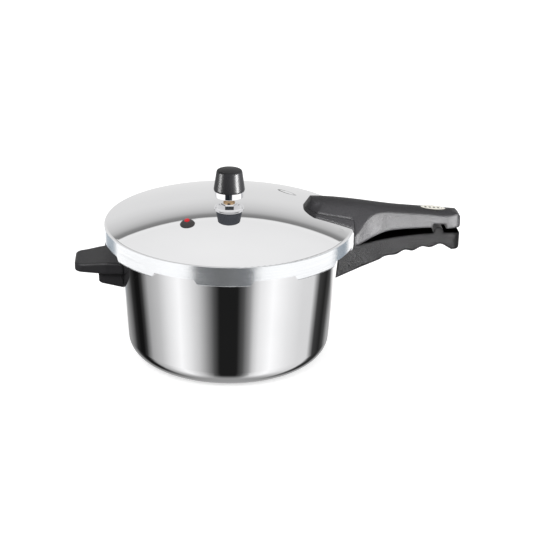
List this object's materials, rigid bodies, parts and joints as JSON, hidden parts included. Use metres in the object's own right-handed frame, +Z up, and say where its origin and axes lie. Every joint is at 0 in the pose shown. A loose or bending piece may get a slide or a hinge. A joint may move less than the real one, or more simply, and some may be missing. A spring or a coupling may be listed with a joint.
{
  "type": "stovetop pressure cooker",
  "caption": "Stovetop pressure cooker: tapered pot, domed bayonet lid with weight valve and pressure indicator, long grip and helper handle.",
  "frame": {"origin": "centre of the pot's flat base, where it stands on the stove", "axes": "+Z up along the pot's axis, +X along the long handles, -X at the helper handle"},
  "size_m": [0.3786, 0.244, 0.2031],
  "materials": {
    "polished_aluminium": "polished to a mirror, with vertical highlights",
    "lid_aluminium": "polished dome with a finely turned skirt",
    "bracket_steel": "pressed steel strap",
    "screw_steel": "machined steel",
    "bakelite": "satin moulded phenolic with a fine grain",
    "silicone": "grey silicone rubber",
    "badge": "anodised oval plate",
    "brass": "turned brass",
    "chrome": "bright chrome plate",
    "blue_grey_plastic": "blue-grey moulded plastic",
    "cap_plastic": "satin black moulded cap",
    "black_rubber": "black silicone grommet",
    "red_plastic": "red moulded pin"
  },
  "bodies": {
    "pot": {"pot_body": "polished_aluminium", "pot_handle_bracket": "bracket_steel", "pot_handle": "bakelite", "pot_handle_screw": "screw_steel", "helper_bracket": "bracket_steel", "helper_handle": "bakelite", "helper_screw": "screw_steel"},
    "lid": {"lid": "lid_aluminium", "gasket": "silicone", "lid_bracket": "bracket_steel", "lid_bracket_rivets": "lid_aluminium", "lid_handle_base": "bakelite", "lid_handle": "bakelite", "lid_handle_screws": "screw_steel", "handle_badge": "badge", "vent_pipe": "brass", "vent_collar": "blue_grey_plastic", "vent_nut": "chrome", "vent_washer": "silicone", "vent_back_nut": "screw_steel", "vent_strainer": "screw_steel", "indicator_housing": "black_rubber"},
    "weight": {"weight_sleeve": "chrome", "weight_cap": "cap_plastic", "weight_needle": "screw_steel"},
    "indicator": {"indicator_pin": "red_plastic", "indicator_seal": "silicone", "indicator_clip": "screw_steel"}
  },
  "joints": [
    {"name": "lid_turn", "type": "hinge", "parent": "pot", "child": "lid", "pos_m": [0, 0, 0.1215], "axis": [0, 0, 1], "range_deg": [0, 22.5]},
    {"name": "weight_lift", "type": "slide", "parent": "lid", "child": "weight", "axis": [0, 0, 1], "range_m": [0, 0.03]},
    {"name": "indicator_rise", "type": "slide", "parent": "lid", "child": "indicator", "axis": [-0.104, -0.1267, 0.9865], "range_m": [0, 0.004]}
  ]
}
